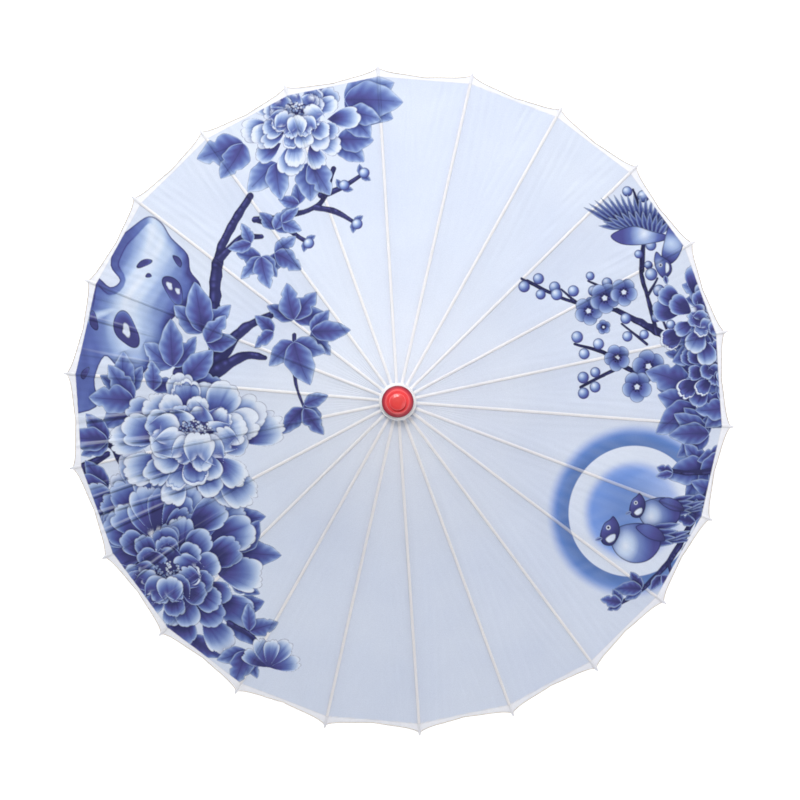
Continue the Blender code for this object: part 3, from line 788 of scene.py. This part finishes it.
def cloth_material():
    """Thin printed cloth. The print is in the mesh, and some light comes through from the other side."""
    m = Shader("printed_cloth")
    colour = m.add("Attribute", attribute_name="print").outputs["Color"]
    slub = m.noise(900.0, 2.0)
    blotch = m.noise(9.0)
    shade = m.ramp(blotch, [(0.3, (0.93, 0.94, 0.97)), (0.7, (1.0, 1.0, 1.0))])
    colour = m.multiply(colour, shade)
    thread = m.ramp(slub, [(0.35, (0.94, 0.94, 0.95)), (0.65, (1.0, 1.0, 1.0))])
    colour = m.multiply(colour, thread)
    crumple = m.noise(28.0, 4.0, rough=0.55)
    normal = m.bump(crumple, 0.35, 0.0015)
    normal = m.bump(slub, 0.15, 0.0002, normal)
    m.set(Base_Color=colour, Roughness=0.72, Normal=normal, Specular_IOR_Level=0.25, Sheen_Weight=0.15)
    through = m.add("BsdfTranslucent")
    m.fill(through, Color=colour)
    both = m.add("MixShader")
    for socket, value in zip(both.inputs, (0.14, m.shader.outputs[0], through.outputs[0])):
        m.put(socket, value)
    m.fill(m.tree.nodes["Material Output"], Surface=both.outputs[0])
    return m.material


def wood_material(name, light, dark, glossy=0.45):
    """Wood or split bamboo, with its grain along Z."""
    m = Shader(name)
    grain = m.noise(60.0, 5.0, (1, 1, 0.06), 0.6)
    fine = m.noise(420.0, 2.0, (1, 1, 0.03))
    both = m.maths("ADD", m.maths("MULTIPLY", grain, 0.7), m.maths("MULTIPLY", fine, 0.3))
    middle = tuple((a + b) / 2 for a, b in zip(light, dark))
    colour = m.ramp(both, [(0.3, dark), (0.5, middle), (0.7, light)])
    rough = m.maths("MULTIPLY_ADD", grain, 0.25, glossy - 0.1)
    normal = m.bump(both, 0.25, 0.0006)
    return m.set(Base_Color=colour, Roughness=rough, Normal=normal)


def metal_material():
    m = Shader("steel_wire")
    drawn = m.noise(300.0)
    colour = m.ramp(drawn, [(0.3, (0.42, 0.42, 0.41)), (0.7, (0.7, 0.7, 0.68))])
    rough = m.maths("MULTIPLY_ADD", drawn, 0.25, 0.22)
    return m.set(Base_Color=colour, Roughness=rough, Metallic=1.0)


def plastic_material():
    m = Shader("black_plastic")
    cloud = m.noise(45.0)
    speck = m.noise(700.0, 2.0)
    colour = m.ramp(cloud, [(0.3, (0.012, 0.012, 0.014)), (0.7, (0.03, 0.03, 0.032))])
    rough = m.maths("MULTIPLY_ADD", cloud, 0.12, 0.32)
    return m.set(Base_Color=colour, Roughness=rough, Normal=m.bump(speck, 0.06, 0.0002))


def cap_material():
    """Red moulded plastic, with painted shade that darkens it towards the rim where it turns down."""
    m = Shader("red_plastic")
    place = m.add("SeparateXYZ")
    m.put(place.inputs[0], m.points())
    x, y = place.outputs[0], place.outputs[1]
    square = m.maths("MULTIPLY_ADD", x, x, m.maths("POWER", y, 2.0))
    radius = m.maths("ADD", m.maths("SQRT", square), m.maths("MULTIPLY", m.noise(90.0, 2.0), 0.0012))
    bright, red = (0.86, 0.07, 0.06), (0.84, 0.06, 0.07)
    dim, dark = (0.45, 0.022, 0.045), (0.18, 0.012, 0.032)
    # dim and dark are painted shade towards the cap's rim
    share = m.maths("MULTIPLY", radius, 50.0)
    colour = m.ramp(share, [(0.0, bright), (0.72, red), (0.86, dim), (0.98, dark)])
    speck = m.noise(700.0, 2.0)
    rough = m.maths("MULTIPLY_ADD", speck, 0.1, 0.32)
    normal = m.bump(speck, 0.06, 0.0002)
    return m.set(Base_Color=colour, Roughness=rough, Normal=normal, Coat_Weight=0.15, Coat_Roughness=0.12)


def gathered_material():
    """White cloth for the collar, with a soft weave."""
    m = Shader("gathered_cloth")
    weave = m.noise(1100.0, 2.0)
    colour = m.ramp(m.noise(60.0), [(0.3, (0.7, 0.7, 0.73)), (0.7, (0.86, 0.86, 0.88))])
    return m.set(Base_Color=colour, Roughness=0.85, Normal=m.bump(weave, 0.25, 0.0003), Sheen_Weight=0.2)


def thread_material():
    m = Shader("sewing_thread")
    twist = m.noise(1600.0, 2.0)
    colour = m.ramp(twist, [(0.35, (0.7, 0.66, 0.61)), (0.65, (0.88, 0.85, 0.8))])
    return m.set(Base_Color=colour, Roughness=0.8, Normal=m.bump(twist, 0.3, 0.0003))


CLOTH = cloth_material()
BAMBOO = wood_material("split_bamboo", (0.66, 0.48, 0.25), (0.4, 0.25, 0.1))
POLE = wood_material("shaft_wood", (0.6, 0.42, 0.22), (0.36, 0.22, 0.1), 0.38)
HUBWOOD = wood_material("hub_wood", (0.44, 0.28, 0.14), (0.24, 0.13, 0.06), 0.5)
LACQUER = wood_material("handle_wood", (0.2, 0.075, 0.04), (0.09, 0.028, 0.018), 0.25)
STEEL = metal_material()
BLACK = plastic_material()
RED = cap_material()
GATHERED = gathered_material()
THREAD = thread_material()


# ---- building pieces


def piece(name, points, faces, material, body):
    """A smooth mesh, in the umbrella's own frame, that rides on a body."""
    mesh = bpy.data.meshes.new(name)
    mesh.from_pydata(points, (), faces, shade_flat=False)
    mesh.validate()
    mesh.materials.append(material)
    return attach(add_object(name, mesh), body)


def tube_faces(rings, count):
    """The faces between rings of points, with count points to a ring."""
    faces = []
    for r in range(rings - 1):
        for k in range(count):
            a, b = r * count + k, r * count + (k + 1) % count
            faces.append((a, b, b + count, a + count))
    return faces


def rib_axes(i):
    """An open rib's pivot, and the directions outward, along it, above it and across it."""
    angle = FIRST_RIB + i * PITCH
    out = np.array((cos(angle), sin(angle), 0.0))
    across = np.array((-out[1], out[0], 0.0))
    along = out * cos(SLOPE) - UP * sin(SLOPE)
    above = out * sin(SLOPE) + UP * cos(SLOPE)
    return out * PIVOT_R + UP * TOP_Z, out, along, above, across


def rib_top(s):
    """The height of a rib's top above its pivot line, s metres out from the pivot."""
    share = (s - NECK) / (RIB_LENGTH - NECK)
    return RIB_TOP_NECK + (RIB_TOP_TIP - RIB_TOP_NECK) * share


def row_columns(s, fine):
    """How many columns of cells a half gore has this far out."""
    least = 18 if fine else 8
    return least if s < 0.11 else 2 * least if s < 0.22 else 4 * least


def is_printed(gore):
    """Whether any of the picture falls on the cloth between this rib and the next."""
    angle = FIRST_RIB + PITCH * (gore + np.linspace(0, 1, 40)[:, None])
    far = np.linspace(0.05, 0.97, 200)
    cols = ((far * np.cos(angle) + SPAN) / CELL).astype(int)
    rows = ((far * np.sin(angle) + SPAN) / CELL).astype(int)
    return (art.ink[rows, cols] > 0.5).any()


def creases(s, u, gore):
    """The height of the long creases that run in from the rim, tallest on the most creased side.

    s is the distance out, and u runs from -1 at the gore's first rib to 1 at its second."""
    between = np.random.default_rng(500 + gore).uniform
    facing = cos(FIRST_RIB + (gore + 0.5) * PITCH - CREASED)
    tallest = 0.0002 + 0.0011 * smooth(0.75, 0.97, facing)
    half_width = (PIVOT_R + s * cos(SLOPE)) * tan(PITCH / 2)
    share = s / CLOTH_END
    height = 0.0
    for _ in range(5):
        rim_place, drift, inner = between(-0.8, 0.8), between(-0.7, 0.7), between(0.3, 0.8)
        off = (u - rim_place - drift * (1 - share)) * half_width / between(0.0013, 0.0026)
        ridge = bell(off) - 0.6 * bell(off - 2.0)
        height = height + tallest * between(0.5, 1.0) * ridge * smooth(inner, inner + 0.25, share)
    return height * (1 - u**2) * (1 - 0.6 * smooth(0.975, 1.0, share))


def cloth_height(s, f, gore):
    """The cloth's height above a flat gore, with its sag. f is 0 at the rib and 1 at mid-gore."""
    a, b, c = np.random.default_rng(100 + gore).uniform(0, 6.28, 3)
    share = np.clip(s / CLOTH_END, 0, 1)
    middle = np.sin(pi * f)
    sag = 0.003 * share**1.2 * (1 - share**6 * 0.5) * np.sin(f * pi / 2) ** 1.5
    pull = 0.00028 * np.sin(34 * f * share + 9 * share + a) * middle * share
    fold = 0.00035 * np.sin(60 * share + 7 * f + b) * middle * share**2
    gather = 0.0004 * np.sin(f * 16 + c) * np.exp(-share / 0.08) * (f > 0.05)
    return -sag + pull + fold + gather


def half_gore(i, side, gore, fine):
    """Half of the cloth between two ribs, from rib i to mid-gore.

    Gives its points, faces, last row of points, and the creases' height at each point."""
    _, out, _, _, across = rib_axes(i)
    step = 0.0009 if fine else 0.0018
    start = STRIP_HALF * 0.92
    points, faces, rows, heights = [], [], [], []
    index = 0
    for s in np.linspace(CLOTH_START, CLOTH_END, int((CLOTH_END - CLOTH_START) / step)):
        n = row_columns(s, fine)
        f = np.linspace(0, 1, n + 1)
        near = (s - CLOTH_START) / (CLOTH_END - CLOTH_START)
        s_here = s - (0.0045 * (1 - (1 - f) ** 6) + 0.003 * f**2) * near**8
        height = rib_top(s_here) + CLOTH_LIFT
        radius = PIVOT_R + s_here * cos(SLOPE) + height * sin(SLOPE)
        z = TOP_Z - s_here * sin(SLOPE) + height * cos(SLOPE)
        half_width = radius * sin(PITCH / 2) * cos(PITCH / 2)
        y = start + (half_width - start) * f
        back = radius * sin(PITCH / 2) ** 2 * y / half_width
        here = (radius - back)[:, None] * out + (side * y)[:, None] * across
        heights.append(creases(s_here, side * (f - 1), gore))
        here[:, 2] = z + cloth_height(s_here, f, gore) + heights[-1]
        points.append(here)
        rows.append((index, n))
        index += n + 1
    for (inner, n), (outer, m) in zip(rows, rows[1:]):
        for a, b in zip(range(inner, inner + n), range(outer, outer + m, m // n)):
            if n == m:
                faces.append((a, b, b + 1, a + 1))
            else:
                faces += [(a, b, b + 1), (a, b + 1, a + 1), (a + 1, b + 1, b + 2)]
    if side > 0:
        faces = [f[::-1] for f in faces]
    return np.vstack(points), faces, points[-1], np.concatenate(heights)


def crease_shading(colours, height):
    """Painted shade darkens the colours along the grooves of the tall creases, most where they are printed,
    and a painted highlight makes the print paler along their crests.
    """
    printed = smooth(0.74, 0.45, colours[:, 1])
    # painted shade in the crease grooves
    groove = 0.55 * smooth(0.0001, 0.0005, -height) * (0.12 + 0.88 * printed)
    # painted highlight on the crease crests
    crest = 0.3 * smooth(0.0003, 0.0009, height) * printed
    return blend(colours * (1 - groove[:, None]), SNOW, crest)


def hem_colours(points, colours):
    """The white hem along the rim, where the print stops, with a fine line of stitches."""
    angle = np.arctan2(points[:, 1], points[:, 0]) - FIRST_RIB
    gap = np.abs((angle / PITCH + 0.5) % 1 - 0.5) * PITCH
    rim = R * 0.977 * cos(PITCH / 2) / np.cos(PITCH / 2 - gap)
    depth = rim - np.hypot(points[:, 0], points[:, 1])
    hem, thread = (0.93, 0.95, 1.0), (0.5, 0.47, 0.5)
    colours = blend(colours, hem, smooth(0.0066, 0.0058, depth))
    return blend(colours, thread, 0.25 * bell((depth - 0.006) / 0.0005))


def rolled_hem(last_row):
    """A thin round hem along a half gore's last row."""
    ring = np.linspace(0, 2 * pi, 8, endpoint=False)
    line = last_row[:: max(1, len(last_row) // 24)]
    outward = line * (1.0, 1.0, 0.0)
    outward /= np.linalg.norm(outward, axis=1)[:, None]
    centre = line - outward * HEM_RADIUS * 0.4
    around = [(cos(a), sin(a)) for a in ring]
    points = [c + HEM_RADIUS * (o * x + UP * y) for c, o in zip(centre, outward) for x, y in around]
    return points, tube_faces(len(line), len(ring))


def paint(obj, colours):
    layer = obj.data.color_attributes.new("print", "FLOAT_COLOR", "POINT")
    full = np.insert(colours, 3, 1.0, axis=1)
    layer.data.foreach_set("color", full.astype(np.float32).ravel())


def build_cover():
    """Two half gores of cloth to each rib, with a rolled hem. Each half rides on its own rib."""
    printed = [is_printed(gore) for gore in range(RIBS)]
    for i in range(RIBS):
        body = f"rib_{i:02d}"
        for side, tag in ((1, "left"), (-1, "right")):
            gore = i if side > 0 else (i - 1) % RIBS
            points, faces, last_row, height = half_gore(i, side, gore, printed[gore])
            cloth = piece(f"cover_{i:02d}_{tag}", points, faces, CLOTH, body)
            colours = crease_shading(sample(points[:, 0], points[:, 1]), height)
            paint(cloth, hem_colours(points, colours))
            hem = piece(f"cover_hem_{i:02d}_{tag}", *rolled_hem(last_row), THREAD, body)
            for obj in (cloth, hem):
                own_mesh(obj)
            if i == 0 and side > 0:
                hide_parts("canopy", "rim_thread")


def build_ridges():
    """The cloth over each rib, drawn tight into a ridge, with a pointed end at the rim."""
    shares = np.array((-1.0, -0.86, -0.66, -0.4, -0.16, 0.16, 0.4, 0.66, 0.86, 1.0))
    crown = (1 - np.abs(shares) ** 2.4) ** 1.1
    lengths = np.linspace(CLOTH_START, POCKET_END, 480)
    n = len(shares)
    firsts = [r * n + k for r in range(len(lengths) - 1) for k in range(n - 1)]
    faces = [(a, a + n, a + n + 1, a + 1) for a in firsts]
    for i in range(RIBS):
        pivot, _, along, above, across = rib_axes(i)
        points = []
        for s in lengths:
            narrow = 1.0 - 0.4 * smooth(CLOTH_END - 0.002, POCKET_END, s)
            peak = 0.00155 * (0.55 + 0.45 * smooth(0.008, 0.02, s)) * narrow
            height = rib_top(s) + CLOTH_LIFT - 0.0002 + peak * crown
            side = shares * STRIP_HALF * narrow
            points.append(pivot + along * s + height[:, None] * above + side[:, None] * across)
        points = np.vstack(points)
        obj = piece(f"cover_ridge_{i:02d}", points, faces, CLOTH, f"rib_{i:02d}")
        paint(obj, ridge_colours(points, np.tile(np.abs(shares), len(lengths))))


def ridge_colours(points, share):
    """A painted highlight makes the crown near-white on plain cloth, and a fine line of painted shadow runs
    along each side: tan on plain cloth, dark on the print.
    """
    colours = sample(points[:, 0], points[:, 1])
    cells = np.clip((points[:, :2] / R + SPAN) / CELL, 0, CELLS - 1).astype(int)
    plain = 1 - art.ink[cells[:, 1], cells[:, 0]]
    haze = smooth(0.7, 0.45, colours[:, 1])
    # painted highlight along the ridge's crown
    crown = smooth(0.95, 0.55, share) * plain * (1 - 0.55 * haze)
    colours = blend(colours, (0.98, 0.98, 1.0), crown)
    # painted shadow along each side of the ridge
    edge_shadow = blend(NAVY, (0.84, 0.79, 0.8), plain)
    return hem_colours(points, blend(colours, edge_shadow, 0.45 * smooth(0.8, 0.98, share)))


def build_collar():
    """The strip of white cloth gathered round the hub, below the cap, with three pleats to each rib."""
    profile = ((0.0223, 0.5287), (0.0226, 0.5305), (0.0225, 0.533), (0.0215, 0.5355), (0.0195, 0.5375),
               (0.017, 0.538))
    line = curve(profile, steps=5)
    pleats = 3 * RIBS
    count = 8 * pleats
    angle = np.linspace(0, 2 * pi, count, endpoint=False)
    pleat = 0.5 - 0.5 * np.cos(pleats * angle + 0.9 * np.sin(5 * angle) + 0.6 * np.sin(13 * angle))
    points = []
    for radius, z in line:
        far = radius - 0.0004 * pleat
        points.append(np.stack((far * np.cos(angle), far * np.sin(angle), np.full(count, z)), axis=1))
    collar = piece("collar_gathers", np.vstack(points), tube_faces(len(line), count), GATHERED, "frame")
    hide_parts("canopy_collar")


build_cover()
build_ridges()
build_collar()


def dress(names, material):
    """Gives CAD nodes a material."""
    for name in names:
        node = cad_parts[name]
        node.data.materials.clear()
        node.data.materials.append(material)


dress([f"{kind}_{i:02d}" for kind in ("rib", "stretcher") for i in range(RIBS)], BAMBOO)
dress(["shaft"], POLE)
dress(["top_hub", "runner"], HUBWOOD)
dress(["handle"], LACQUER)
dress(["top_hub_wire", "runner_wire", "catch", "catch_pin", "stop_pin"], STEEL)
dress(["handle_ferrule", "handle_end_cap"], BLACK)
dress(["finial_cap", "cap_button"], RED)


# ---- light and floor


def add_light(name, place, aim, size, power, colour=(1, 1, 1)):
    data = bpy.data.lights.new(name, "AREA")
    data.shape = "DISK"
    data.size = size
    data.energy = power
    data.color = colour
    lamp = add_object(name, data)
    lamp.location = place
    lamp.rotation_euler = (Vector(aim) - Vector(place)).to_track_quat("-Z", "Y").to_euler()


def add_stage():
    """A pale floor, with a low pale wall a long way off, both lit a little from within."""
    m = Shader("floor")
    cloud = m.noise(3.0, 2.0)
    colour = m.ramp(cloud, [(0.3, (0.9, 0.9, 0.905)), (0.7, (0.93, 0.93, 0.93))])
    m.set(Base_Color=colour, Roughness=0.9, Emission_Color=(1.0, 1.0, 1.0), Emission_Strength=0.88)
    bpy.ops.mesh.primitive_plane_add(size=24, location=(0, 0, -0.0005))
    floor = bpy.context.object
    floor.name = "floor"
    radius, tall = 11.5, 3.0
    bpy.ops.mesh.primitive_cylinder_add(
        radius=radius, depth=tall, vertices=96, end_fill_type="NOTHING", location=(0, 0, tall / 2))
    wall = bpy.context.object
    wall.name = "wall"
    for obj in (floor, wall):
        obj.data.materials.append(m.material)


add_light("key", (-0.45, 1.86, 3.5), (0, 0, 0.45), 1.4, 103, (1.0, 0.99, 0.98))
add_light("fill", (2.4, -1.0, 3.4), (0, 0, 0.4), 2.4, 34, (1.0, 0.96, 0.99))
add_light("front", (0.3, -3.0, 0.9), (0, 0, 0.3), 1.8, 10)
add_light("back", (-0.6, 3.0, 0.7), (0, 0, 0.3), 1.8, 10)
add_stage()
